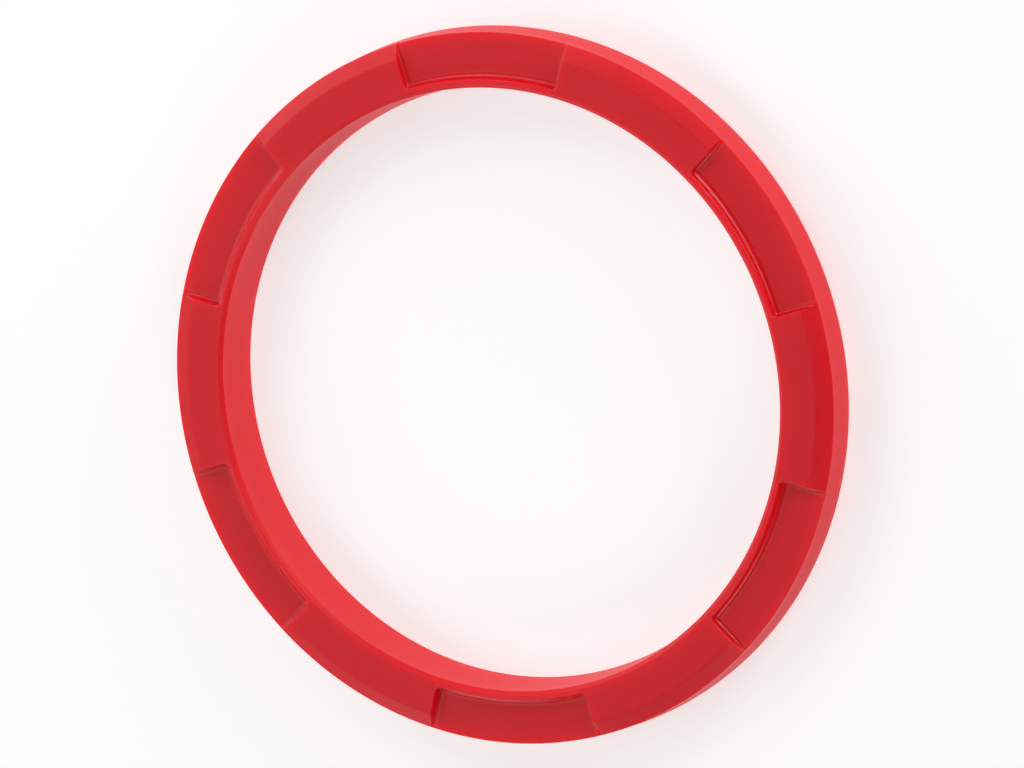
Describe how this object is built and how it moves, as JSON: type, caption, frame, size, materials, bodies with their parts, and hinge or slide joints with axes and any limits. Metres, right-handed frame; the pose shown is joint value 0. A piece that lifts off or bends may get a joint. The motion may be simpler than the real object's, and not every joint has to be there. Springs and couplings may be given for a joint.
{
  "type": "hub centring ring",
  "caption": "Plastic centring ring that fills the gap between a hub and a larger wheel bore, with recesses round its face, a chamfered rim and a bevelled bore.",
  "frame": {"origin": "on the ring's axis, at the level of its flat back, so the ring stands on the XY plane", "axes": "+Z along the ring's axis, from the flat back to the face with the recesses; +X through the middle of one recess"},
  "size_m": [0.076, 0.076, 0.0064],
  "materials": {
    "red_plastic": "satin, fine moulded grain"
  },
  "bodies": {
    "root": {"centring_ring": "red_plastic"}
  },
  "joints": []
}
